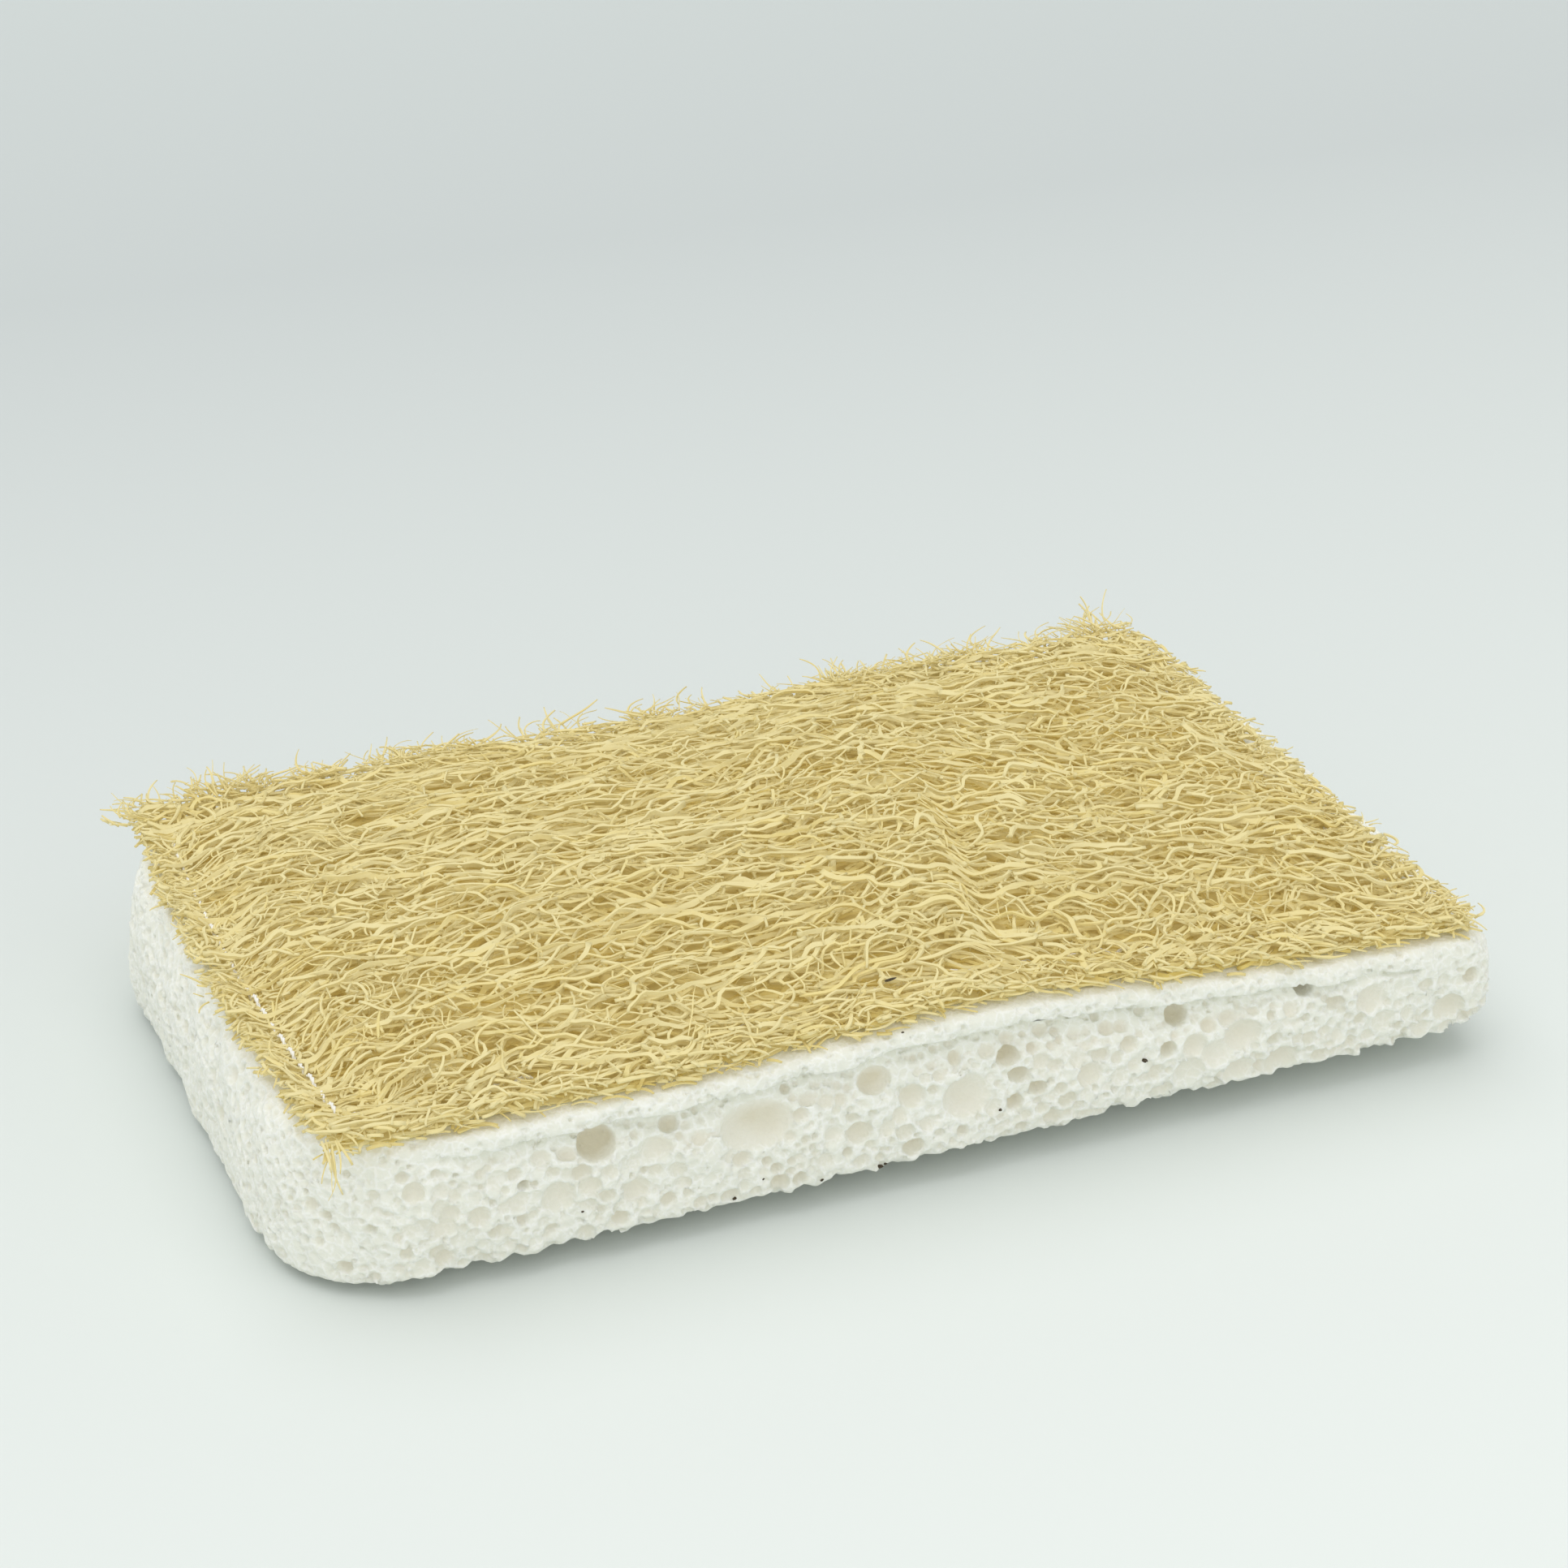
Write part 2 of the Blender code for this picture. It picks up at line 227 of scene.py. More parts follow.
# Shape shared by the block and the mat, in millimetres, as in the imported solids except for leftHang
shape = {
    "matLength": 110.0,
    "matWidth": 68.0,
    "blockLength": 118.5,
    "blockWidth": 69.5,
    "leftRadius": 13.0,
    "rightRadius": 5.5,
    "shoulder": 1.9,
    "tuck": 0.6,
    "seatEdge": 15.5,
    "dome": 3.4,
    "arch": 1.4,
    "archPlace": 5.0,
    "archSpread": 17.0,
    "droop": 1.8,
    "backRise": 1.0,
    "leftLift": 1.8,
    "rightLift": 3.7,
    "liftReach": 15.5,
    "leftHang": 0.55,  # share of the lift by which the soft left end hangs back down
    "lip": 1.9,
    "slitDepth": 2.1,
    "slitMouth": 2.6,
    "slitLeft": -51.75,
    "slitRight": 48.75,
    "seamInsetSide": 4.8,
    "seamInsetEnd": 2.8,
    "leftBow": 1.7,
    "leftOffset": 0.6,
}


def seatHeight(x, y):
    # the top of the block: domed, arched along the front edge, drooping at the near right corner
    u, v = x / (shape["matLength"] / 2), y / (shape["matWidth"] / 2)
    dome = shape["dome"] * np.maximum(0, 1 - u * u) * np.maximum(0, 1 - v * v)
    arch = shape["arch"] * np.exp(-(((x - shape["archPlace"]) / shape["archSpread"]) ** 2))
    frontShare = np.clip((1 - v) / 2, 0, 1)
    right = ease(u)
    front = (arch - shape["droop"] * right) * frontShare
    return shape["seatEdge"] + dome + front + shape["backRise"] * right * (1 - frontShare)


def footHeight(x, y):
    # the underside of the block, which the seam draws up off the floor along the edges
    end = ease((shape["blockLength"] / 2 - abs(x)) / shape["liftReach"])
    side = ease((shape["blockWidth"] / 2 - abs(y)) / shape["liftReach"])
    lift = shape["leftLift"] + (shape["rightLift"] - shape["leftLift"]) * (x / shape["blockLength"] + 0.5)
    rests = shape["leftHang"] * (1 - end) * (x < 0)
    return lift * (1 - rests) * (1 - end * side)


# Foam block
foam = {
    "seed": 3,
    "voxel": 0.22,
    "margin": 1.2,
    "ceiling": 21.4,
    "edgeRound": 0.9,
    "triangles": 185000,
    "white": "#F5F6EF",
    # cellShade and the deep cell colour are painted shade for the pores and the slit, full at deepest mm
    # below the skin
    "cellShade": "#EFEEE3",
    # painted shade in the middle of the small cells that are not modelled
    "smallCellShade": "#F7F7F2",
    "deepCellShade": "#DED8C2",
    "deepest": 1.9,
    "scatter": 0.16,
    "frontPores": (  # along X, up from mid-height, radius, depth
        (-39.0, 0.7, 0.6, 1.2), (-32.2, 2.8, 1.8, 2.2), (-27.1, 1.1, 1.6, 0.9), (-17.7, 1.3, 3.4, 1.3),
        (-9.7, 4.7, 1.2, 1.1), (-8.0, -2.2, 1.3, 1.0), (-6.5, 2.5, 1.6, 1.1), (-2.9, 0.0, 1.3, 0.9),
        (2.5, -1.2, 2.6, 1.0), (6.4, 1.7, 1.2, 1.8), (23.7, 2.5, 1.2, 1.8), (34.8, -4.1, 1.9, 1.1),
        (36.9, 3.0, 1.0, 2.0), (43.7, 0.9, 1.8, 1.0), (52.6, -2.2, 1.7, 1.0)),
    "poreSizes": (  # largest radius, smallest radius, tries
        (1.9, 1.1, 60), (1.1, 0.7, 1300), (0.7, 0.42, 5000), (0.42, 0.26, 14000)),
    "poreOverlap": 0.84,
}


def outlinePoint(run, halfLength, halfWidth):
    # a point of the rounded plan, and its outward direction, for a run along it from the near-left corner
    left, right = shape["leftRadius"], shape["rightRadius"]
    parts = [
        (2 * halfLength - left - right, (-halfLength + left, -halfWidth), (1, 0), (0, -1)),
        (math.pi / 2 * right, (halfLength - right, -halfWidth + right), right, -90),
        (2 * halfWidth - 2 * right, (halfLength, -halfWidth + right), (0, 1), (1, 0)),
        (math.pi / 2 * right, (halfLength - right, halfWidth - right), right, 0),
        (2 * halfLength - left - right, (halfLength - right, halfWidth), (-1, 0), (0, 1)),
        (math.pi / 2 * left, (-halfLength + left, halfWidth - left), left, 90),
        (2 * halfWidth - 2 * left, (-halfLength, halfWidth - left), (0, -1), (-1, 0)),
        (math.pi / 2 * left, (-halfLength + left, -halfWidth + left), left, 180),
    ]
    for length, start, way, out in parts:
        if run <= length:
            break
        run -= length
    if isinstance(way, tuple):
        return (start[0] + way[0] * run, start[1] + way[1] * run), out
    turn = math.radians(out) + run / way
    outward = (math.cos(turn), math.sin(turn))
    return (start[0] + way * outward[0], start[1] + way * outward[1]), outward


def pickPores(chance):
    # centre, radii along the face, up and inwards, and the outward direction of each pore
    halfLength, halfWidth = shape["blockLength"] / 2, shape["blockWidth"] / 2
    left, right = shape["leftRadius"], shape["rightRadius"]
    around = 4 * (halfLength + halfWidth) - (4 - math.pi) * (left + right)
    taken, pores = [], []
    for x, rise, radius, depth in foam["frontPores"]:
        up = (float(seatHeight(x, -halfWidth)) + float(footHeight(x, -halfWidth))) / 2 + rise
        taken.append((x + halfLength - left, up, radius))
        pores.append((x, -halfWidth, up, radius, radius * 0.86, depth, 0.0, -1.0))
    takenRuns, takenUps, takenSizes = np.array(taken).T
    for largest, smallest, tries in foam["poreSizes"]:
        for _ in range(tries):
            run = chance.uniform(0, around)
            radius = smallest + (largest - smallest) * chance.random() ** 1.6
            (x, y), outward = outlinePoint(run, halfLength, halfWidth)
            low, high = float(footHeight(x, y)) - 0.3, float(seatHeight(x, y)) - 0.3
            up = chance.uniform(low, high)
            onFront, onLeftEnd = outward[1] < -0.8, outward[0] < -0.3
            if onFront and radius > 0.32 and up + radius > high - shape["lip"] - 0.3:
                continue  # only fine pores in the lip
            if radius > 0.9 and not low + radius < up < high - radius:
                continue  # large pores don't break the edges
            if onLeftEnd and radius > 0.4 and chance.random() < (0.92 if radius > 0.6 else 0.7):
                continue  # the left end is finer
            apart = np.hypot(takenRuns - run, takenUps - up)
            if (apart < foam["poreOverlap"] * (takenSizes + radius)).any():
                continue
            takenRuns = np.append(takenRuns, run)
            takenUps = np.append(takenUps, up)
            takenSizes = np.append(takenSizes, radius)
            inwards = radius * (chance.uniform(0.45, 1.4) if radius < 1 else chance.uniform(0.35, 0.8))
            wide = radius * chance.uniform(0.8, 1.3)
            pores.append((x, y, up, wide, radius * 0.93, inwards, outward[0], outward[1]))
    return pores


def foamMaterial():
    # regenerated cellulose foam, cast round salt grains that wash out: matt white walls,
    # cells painted cream where they are deep, as painted shade in their hollows, and a skin of far finer
    # cells all over
    material, tree, shader = startMaterial("open-cell cellulose foam")
    place = addNode(tree, "ShaderNodeTexCoord").outputs["Object"]
    depth = addNode(tree, "ShaderNodeAttribute", attribute_name="cellDepth").outputs["Fac"]
    patchy = addNode(tree, "ShaderNodeTexNoise", {"Vector": place, "Scale": 160.0, "Detail": 3.0})
    shifted = addNode(tree, "ShaderNodeMath", {0: patchy.outputs["Fac"], 1: 0.5}, operation="SUBTRACT")
    mixed = addNode(tree, "ShaderNodeMath", {0: shifted.outputs[0], 1: 0.16, 2: depth},
                    operation="MULTIPLY_ADD")
    # painted shade: the foam turns cream, then darker, the further a point lies below the uncut skin
    tone = ramp(tree, mixed.outputs[0],
                [(0.06, foam["white"]), (0.26, foam["cellShade"]), (0.9, foam["deepCellShade"])])
    # cells of 1.1 mm and 0.5 mm between the modelled ones, painted greyer in the middle than at their walls
    # as painted shade in their hollows
    wide, small = (addNode(tree, "ShaderNodeTexVoronoi", {"Vector": place, "Scale": scale},
                           feature="DISTANCE_TO_EDGE").outputs["Distance"] for scale in (900.0, 2000.0))
    both = addNode(tree, "ShaderNodeMath", {0: small, 1: 0.6, 2: wide}, operation="MULTIPLY_ADD")
    walls = ramp(tree, both.outputs[0],
                 [(0.06, "#FFFFFF"), (0.22, foam["smallCellShade"]), (0.6, foam["smallCellShade"])])
    shallow = addNode(tree, "ShaderNodeMapRange", {"Value": depth, "From Min": 0.15, "From Max": 0.5,
                                                   "To Min": 1.0, "To Max": 0.0})
    coloured = addNode(tree, "ShaderNodeMixRGB",
                       {"Fac": shallow.outputs["Result"], "Color1": tone.outputs["Color"],
                        "Color2": walls.outputs["Color"]}, blend_type="MULTIPLY")
    bump = addNode(tree, "ShaderNodeBump", {"Height": both.outputs[0], "Strength": 0.32, "Distance": 0.0004},
                   invert=True)
    tree.links.new(coloured.outputs["Color"], shader.inputs["Base Color"])
    tree.links.new(bump.outputs["Normal"], shader.inputs["Normal"])
    shader.inputs["Roughness"].default_value = 0.8
    shader.inputs["Specular IOR Level"].default_value = 0.3
    shader.inputs["Subsurface Weight"].default_value = foam["scatter"]
    shader.inputs["Subsurface Radius"].default_value = (1.0, 0.95, 0.85)
    shader.inputs["Subsurface Scale"].default_value = 0.0009
    return material


def roughBlock(xs, ys, zs, lumps, crumbs):
    # distance in mm from the skin of the rounded block, negative inside it
    halfLength, halfWidth = shape["blockLength"] / 2, shape["blockWidth"] / 2
    planX, planY = np.meshgrid(xs, ys, indexing="ij")
    seat, foot = seatHeight(planX, planY) - 0.15, footHeight(planX, planY)
    torn = 0.09 * crumbs(planX, planY) + 0.14 * lumps(3 * planX, 3 * planY)
    foot = foot + torn * ease(foot / 1.2 - 0.4)
    radius = np.where(planX < 0, shape["leftRadius"], shape["rightRadius"])
    rounding = foam["edgeRound"]
    solid = np.empty((len(xs), len(ys), len(zs)), np.float32)
    for k, z in enumerate(zs):
        up = np.clip((z - foot) / (seat - foot), 0, 1)
        a = halfLength - shape["shoulder"] * up**4 - shape["tuck"] * (1 - up) ** 4
        b = halfWidth - shape["tuck"] * (1 - up) ** 4
        qx, qy = abs(planX) - (a - radius), abs(planY) - (b - radius)
        side = np.hypot(np.maximum(qx, 0), np.maximum(qy, 0)) + np.minimum(np.maximum(qx, qy), 0) - radius
        near = abs(side) < 1.6
        nearX, nearY = planX[near] + 0.7 * z, planY[near] - 0.6 * z
        side[near] += 0.16 * lumps(nearX, nearY) + 0.05 * crumbs(nearX, nearY)
        flat = np.maximum(z - seat, foot - z)
        outer = np.hypot(np.maximum(side + rounding, 0), np.maximum(flat + rounding, 0))
        solid[:, :, k] = outer + np.minimum(np.maximum(side, flat) + rounding, 0) - rounding
    return solid


def cutSlit(solid, xs, ys, zs, lumps):
    # the slit under the lip of the front face, open in the middle and closing towards its ends
    front = -shape["blockWidth"] / 2
    share = np.clip((xs - shape["slitLeft"]) / (shape["slitRight"] - shape["slitLeft"]), 0, 1)
    fade = (ease(4 * share) * ease(4 * (1 - share)))[:, None, None]
    top = (seatHeight(xs, front) - shape["lip"] + 0.12 * lumps(xs, 0 * xs))[:, None, None]
    reach = shape["slitDepth"] * (0.25 + 0.75 * fade)
    ys = ys[ys < front + 4]
    x, y, z = xs[:, None, None], ys[None, :, None], zs[None, None, :]
    into = (y - front) / np.maximum(reach, 0.1)
    opening = 1.25 * shape["slitMouth"] * fade * np.clip(1 - into, 0, 1.2) ** 1.3
    bottom = top - 0.45 - opening
    wedge = np.maximum(np.maximum(z - top, bottom - z), y - front - reach)
    wedge = np.maximum(wedge, np.maximum(shape["slitLeft"] - x, x - shape["slitRight"]))
    part = solid[:, :len(ys), :]
    solid[:, :len(ys), :] = np.maximum(part, -wedge)


def cutCells(solid, uncut, xs, ys, zs, origin, pores):
    step, counts = foam["voxel"], solid.shape
    march = np.arange(-1.0, 3.6, 0.1)
    for x, y, z, wide, tall, deep, outX, outY in pores:
        # each cell opens on the surface as it is there, also below the lip
        line = np.stack([x - outX * march, y - outY * march, np.full(len(march), z)], 1)
        cell = np.clip(np.round((line - origin) / step).astype(int), 0, np.array(counts) - 1)
        met = np.flatnonzero(uncut[cell[:, 0], cell[:, 1], cell[:, 2]] < 0)
        if len(met) == 0:
            continue
        x, y = line[met[0], 0], line[met[0], 1]
        centre = np.array([x, y, z])
        reach = max(wide, tall, deep) + 3 * step
        low = np.maximum(np.floor((centre - reach - origin) / step).astype(int), 0)
        high = np.minimum(np.ceil((centre + reach - origin) / step).astype(int), counts)
        if (high <= low).any():
            continue
        dx = xs[low[0]:high[0], None, None] - x
        dy = ys[None, low[1]:high[1], None] - y
        dz = zs[None, None, low[2]:high[2]] - z
        out = dx * outX + dy * outY
        along = dy * outX - dx * outY
        distance = np.sqrt((along / wide) ** 2 + (dz / tall) ** 2 + (out / deep) ** 2) - 1
        box = (slice(low[0], high[0]), slice(low[1], high[1]), slice(low[2], high[2]))
        solid[box] = np.maximum(solid[box], -(distance * min(wide, tall, deep)))


def makeFoamBlock():
    chance = np.random.default_rng(foam["seed"])
    step, margin = foam["voxel"], foam["margin"]
    halfLength, halfWidth = shape["blockLength"] / 2, shape["blockWidth"] / 2
    origin = np.array([-halfLength - margin, -halfWidth - margin, -margin])
    farCorner = np.array([halfLength + margin, halfWidth + margin, foam["ceiling"]])
    counts = np.ceil((farCorner - origin) / step).astype(int)
    xs, ys, zs = (origin[i] + step * np.arange(counts[i]) for i in range(3))
    lumps, crumbs = waves(chance, 9, 9), waves(chance, 1.9, 1.9, 18)
    solid = roughBlock(xs, ys, zs, lumps, crumbs)
    cutSlit(solid, xs, ys, zs, lumps)
    uncut = solid.copy()
    cutCells(solid, uncut, xs, ys, zs, origin, pickPores(chance))
    band = 3 * step
    grid = vdb.FloatGrid(band)
    grid.copyFromArray(np.clip(solid, -band, band).astype(np.float32))
    grid.gridClass = vdb.GridClass.LEVEL_SET
    points, triangles, quads = grid.convertToPolygons(0.0, 0.0)
    cellOf = np.clip(np.round(points).astype(int), 0, counts - 1)
    inside = uncut[cellOf[:, 0], cellOf[:, 1], cellOf[:, 2]]
    places = (points * step + origin) / 1000
    faces = quads[:, ::-1] if len(triangles) == 0 else [f[::-1] for f in list(triangles) + list(quads)]
    block = meshObject("foamBlock", places, faces, foamMaterial())
    # this depth sets the painted shade in the pores and the slit
    setAttribute(block, "cellDepth", np.clip(-inside / foam["deepest"], 0, 1))
    bpy.context.view_layer.objects.active = block
    thin = block.modifiers.new("thin", "DECIMATE")
    thin.ratio = foam["triangles"] / (2 * len(quads) + len(triangles))
    with bpy.context.temp_override(object=block, active_object=block, selected_objects=[block]):
        bpy.ops.object.modifier_apply(modifier="thin")
    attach(block, "root")
    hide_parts("sponge_block")
    print("foam block:", len(block.data.polygons), "faces")
    return block


# Loofah mat
mat = {
    "seed": 21,
    "highlight": "#DDD19C",
    "straw": "#DDCF95",
    "gold": "#DAC87F",
    # deep is the painted gold light and shade of the lower layers; glow is a painted glow on every fibre for
    # light carried through the mat
    "deep": "#D8C26E",
    "paintedGlow": 0.11,
    "thickness": 2.9,
    "seamThickness": 1.2,
    "edgeThickness": 2.1,
    "crease": {"place": 12, "slant": 0.26, "middle": -16, "end": 8, "fade": 12, "depth": 1.35},
    "flatness": 0.28,
    "twist": 0.09,
    "widestStrand": 0.85,
    "nets": (
        # name, gap length, gap width, pattern, share kept, height share, strand width from, to, longest step
        ("loofahLowNet", 2.6, 1.6, 4, 1.0, 0.17, 0.34, 0.70, 1.00),
        ("loofahInnerNet", 3.0, 1.8, 1, 1.0, 0.36, 0.40, 0.78, 0.85),
        ("loofahMiddleNet", 2.5, 1.6, 2, 1.0, 0.56, 0.32, 0.66, 0.72),
        ("loofahOuterNet", 2.5, 1.6, 2, 1.0, 0.75, 0.28, 0.64, 0.62),
        ("loofahTopNet", 3.3, 1.7, 3, 0.7, 0.91, 0.28, 0.66, 0.62),
    ),
    "fibres": (
        # name, fibres, length from, to, width from, to, height share from, to, spread, curl, step
        ("loofahLongStrands", 260, 5, 16, 0.26, 0.54, 0.45, 0.92, 0.30, 0.03, 0.75),
        ("loofahLooseFibres", 1500, 1.8, 6.0, 0.18, 0.44, 0.50, 1.04, 0.85, 0.16, 0.55),
    ),
}


# Frayed edges of the mat
edge = {
    "endStubs": 560,
    "sideStubs": 760,
    "fuzz": 760,
    "leftCurls": 420,
    "reach": 0.7,
    "step": 0.45,
    "tufts": (  # x, y, direction, scatter, fibres, length, lift
        (50.5, 33.5, 1.7, 0.7, 60, 4.6, 0.35), (-54.4, -33.4, -2.0, 0.2, 9, 5.0, -0.85),
        (54.0, -32.0, -0.2, 0.7, 34, 3.2, 0.1), (36.0, 33.5, 1.6, 0.7, 30, 4.2, 0.3),
        (20.0, 33.5, 1.5, 0.7, 26, 4.6, 0.3), (4.0, 33.5, 1.6, 0.7, 18, 3.4, 0.25),
        (-12.0, 33.5, 1.6, 0.7, 24, 4.6, 0.25), (-28.0, 33.5, 1.5, 0.7, 22, 3.6, 0.25),
        (-46.0, 33.5, 1.8, 0.7, 44, 5.0, 0.4), (-54.5, 31.0, 2.6, 0.7, 30, 3.6, 0.35),
        (-54.5, 13.0, 3.1, 0.8, 20, 3.0, 0.3), (-54.5, -5.0, 3.1, 0.8, 20, 2.8, 0.3),
        (-54.5, -20.0, 3.2, 0.8, 20, 2.8, 0.2), (54.5, 20.0, 0.2, 0.8, 20, 2.2, 0.12),
        (54.5, 2.0, 0.0, 0.8, 18, 2.2, 0.12), (54.5, -16.0, -0.1, 0.8, 18, 2.2, 0.12)),
}


def matPlace(x, y):
    # where a point of the flat mat lies on the block: the left end is bowed
    u, v = x / (shape["matLength"] / 2), y / (shape["matWidth"] / 2)
    return x - shape["leftOffset"] - shape["leftBow"] * (1 - v * v) * ease(-u), y


def creaseSide(x, y):
    # how far right a point is of the sunken fold that crosses the near half of the mat,
    # and how much of the fold there is at that y
    crease = mat["crease"]
    right = x - crease["place"] - crease["slant"] * (y - crease["middle"])
    return right, ease((crease["end"] - y) / crease["fade"])


def creaseShare(x, y, reach):
    # 1 at the bottom of the fold, falling off to both sides
    right, near = creaseSide(x, y)
    return np.exp(-((right / reach) ** 2)) * near


def matThickness(x, y):
    # thick in the field, drawn down along the seam, looser again outside it
    inX = shape["matLength"] / 2 - shape["seamInsetEnd"] - abs(x)
    inY = shape["matWidth"] / 2 - shape["seamInsetSide"] - abs(y)
    inside = np.minimum(inX, inY)
    seamThickness = mat["seamThickness"] + 0.7 * ease((x + 50) / 6)  # drawn tightest along the left end
    field = seamThickness + (mat["thickness"] - seamThickness) * ease(inside / 5.5)
    rim = seamThickness + (mat["edgeThickness"] - seamThickness) * ease(-inside / 2.2)
    fold = mat["crease"]["depth"] * creaseShare(x, y, 1.7) * ease(inside / 3)
    return np.where(inside > 0, field - fold, rim)


def fibreMaterial():
    # dried luffa vascular fibre, retted and sun-bleached: straw yellow and nearly matt,
    # with painted light and shade in the lower layers: a deeper gold for the light that has passed through
    # other fibres and the shade between them
    material, tree, shader = startMaterial("dried loofah fibre")
    tone = addNode(tree, "ShaderNodeAttribute", attribute_name="tone").outputs["Fac"]
    depth = addNode(tree, "ShaderNodeAttribute", attribute_name="layerDepth").outputs["Fac"]
    place = addNode(tree, "ShaderNodeTexCoord").outputs["Object"]
    # stains of about 14 mm, and flecks of 0.45 mm drawn out along the fibres
    stain = addNode(tree, "ShaderNodeTexNoise", {"Vector": place, "Scale": 70.0, "Detail": 2.0})
    drawn = addNode(tree, "ShaderNodeMapping", {"Vector": place, "Scale": (0.22, 1.0, 1.0)})
    fleck = addNode(tree, "ShaderNodeTexNoise",
                    {"Vector": drawn.outputs["Vector"], "Scale": 2200.0, "Detail": 2.0})
    withStain = addNode(tree, "ShaderNodeMath", {0: stain.outputs["Fac"], 1: 0.5, 2: tone},
                        operation="MULTIPLY_ADD")
    withFleck = addNode(tree, "ShaderNodeMath", {0: fleck.outputs["Fac"], 1: 0.45, 2: withStain.outputs[0]},
                        operation="MULTIPLY_ADD")
    light = ramp(tree, withFleck.outputs[0],
                 [(0.3, mat["gold"]), (0.7, mat["straw"]), (1.0, mat["highlight"])])
    blend = addNode(tree, "ShaderNodeMixRGB", {"Fac": depth, "Color1": light.outputs["Color"],
                                               "Color2": toLinear(mat["deep"])})
    bump = addNode(tree, "ShaderNodeBump",
                   {"Height": fleck.outputs["Fac"], "Strength": 0.6, "Distance": 0.00015})
    tree.links.new(blend.outputs["Color"], shader.inputs["Base Color"])
    tree.links.new(blend.outputs["Color"], shader.inputs["Emission Color"])
    tree.links.new(bump.outputs["Normal"], shader.inputs["Normal"])
    shader.inputs["Emission Strength"].default_value = mat["paintedGlow"]  # stands in for light carried through them
    shader.inputs["Roughness"].default_value = 0.65
    shader.inputs["Specular IOR Level"].default_value = 0.22
    return material


def sweepTubes(name, paths, widths, tones, depths, rolls, sides, material, flatness):
    # paths: (fibres, steps, 3) in mm with NaN past each end; one flattened tapered tube each
    counts = (~np.isnan(paths[:, :, 0])).sum(1)
    keep = counts >= 3
    paths, widths, tones, depths, rolls, counts = (
        values[keep] for values in (paths, widths, tones, depths, rolls, counts))
    fibres, steps, _ = paths.shape
    rows, places = np.arange(fibres)[:, None], np.arange(steps)[None, :]
    last = counts[:, None] - 1
    filled = paths[rows, np.minimum(places, last)]
    ahead, behind = np.minimum(places + 1, last), np.clip(np.minimum(places, last) - 1, 0, None)
    along = paths[rows, ahead] - paths[rows, behind]
    along /= np.maximum(np.linalg.norm(along, axis=2, keepdims=True), 1e-9)
    upright = np.zeros_like(along)
    upright[:, :, 2] = 1
    across = np.cross(upright, along)
    across /= np.maximum(np.linalg.norm(across, axis=2, keepdims=True), 1e-9)
    normal = np.cross(along, across)
    turn = rolls[:, None] + mat["twist"] * places * np.sin(7 * rolls)[:, None]
    c, s = np.cos(turn)[:, :, None], np.sin(turn)[:, :, None]
    across, normal = across * c + normal * s, normal * c - across * s
    corner = (2 * math.pi * (np.arange(sides) + 0.5) / sides)[None, None, :, None]
    wide = widths[:, :, None, None]
    ring = (filled[:, :, None, :] + across[:, :, None, :] * (np.cos(corner) * wide / 2)
            + normal[:, :, None, :] * (np.sin(corner) * wide * flatness))
    toneOut, depthOut, points, walls, caps = [], [], [], [], []
    around = np.arange(sides)
    nextOne = (around + 1) % sides
    start = 0
    for i in range(fibres):
        n = counts[i]
        points.append(ring[i, :n].reshape(-1, 3))
        toneOut.append(np.full(n * sides, tones[i]))
        depthOut.append(np.repeat(depths[i, :n], sides))
        base = start + sides * np.arange(n - 1)[:, None]
        corners = [base + around, base + nextOne, base + sides + nextOne, base + sides + around]
        walls.append(np.stack(corners, axis=2).reshape(-1, 4))
        caps.append(start + around[::-1])
        caps.append(start + sides * (n - 1) + around)
        start += n * sides
    walls, caps = np.concatenate(walls), np.array(caps)
    faces = np.concatenate([walls, caps]) if sides == 4 else list(walls) + list(caps)
    tubes = meshObject(name, np.concatenate(points) / 1000, faces, material)
    if sides == 4:
        # a flat fibre: crisp along its length, smooth round its bends
        ends = np.empty(2 * len(tubes.data.edges), np.int32)
        tubes.data.edges.foreach_get("vertices", ends)
        lengthwise = abs(ends[::2] - ends[1::2]) == sides
        tubes.data.attributes.new("sharp_edge", "BOOLEAN", "EDGE").data.foreach_set("value", lengthwise)
    setAttribute(tubes, "tone", np.concatenate(toneOut))
    setAttribute(tubes, "layerDepth", np.concatenate(depthOut))
    print(name, "with", fibres, "strands")
    return tubes


def onMat(x, y, height, drop=0.0):
    # lifts plan points of the flat mat onto the bowed block; height is a share of the mat's thickness
    px, py = matPlace(x, y)
    ground = seatHeight(np.clip(px, -59, 59), np.clip(py, -34.5, 34.5)) + 0.1
    return np.stack([px, py, ground + matThickness(x, y) * height - drop], 2)


def sunken(height):
    # 0 for strands on top of the mat, up to 1 for those at its bottom
    # the share sets how much of the painted gold light and shade of the lower layers a strand gets
    return np.clip(1.0 - height * 1.5, 0, 1) ** 1.2


def padRows(rows):
    # rows of unequal length as one array, NaN past each end
    table = np.full((len(rows), max(len(row) for row in rows)) + rows[0].shape[1:], np.nan)
    for line, row in zip(table, rows):
        line[:len(row)] = row
    return table


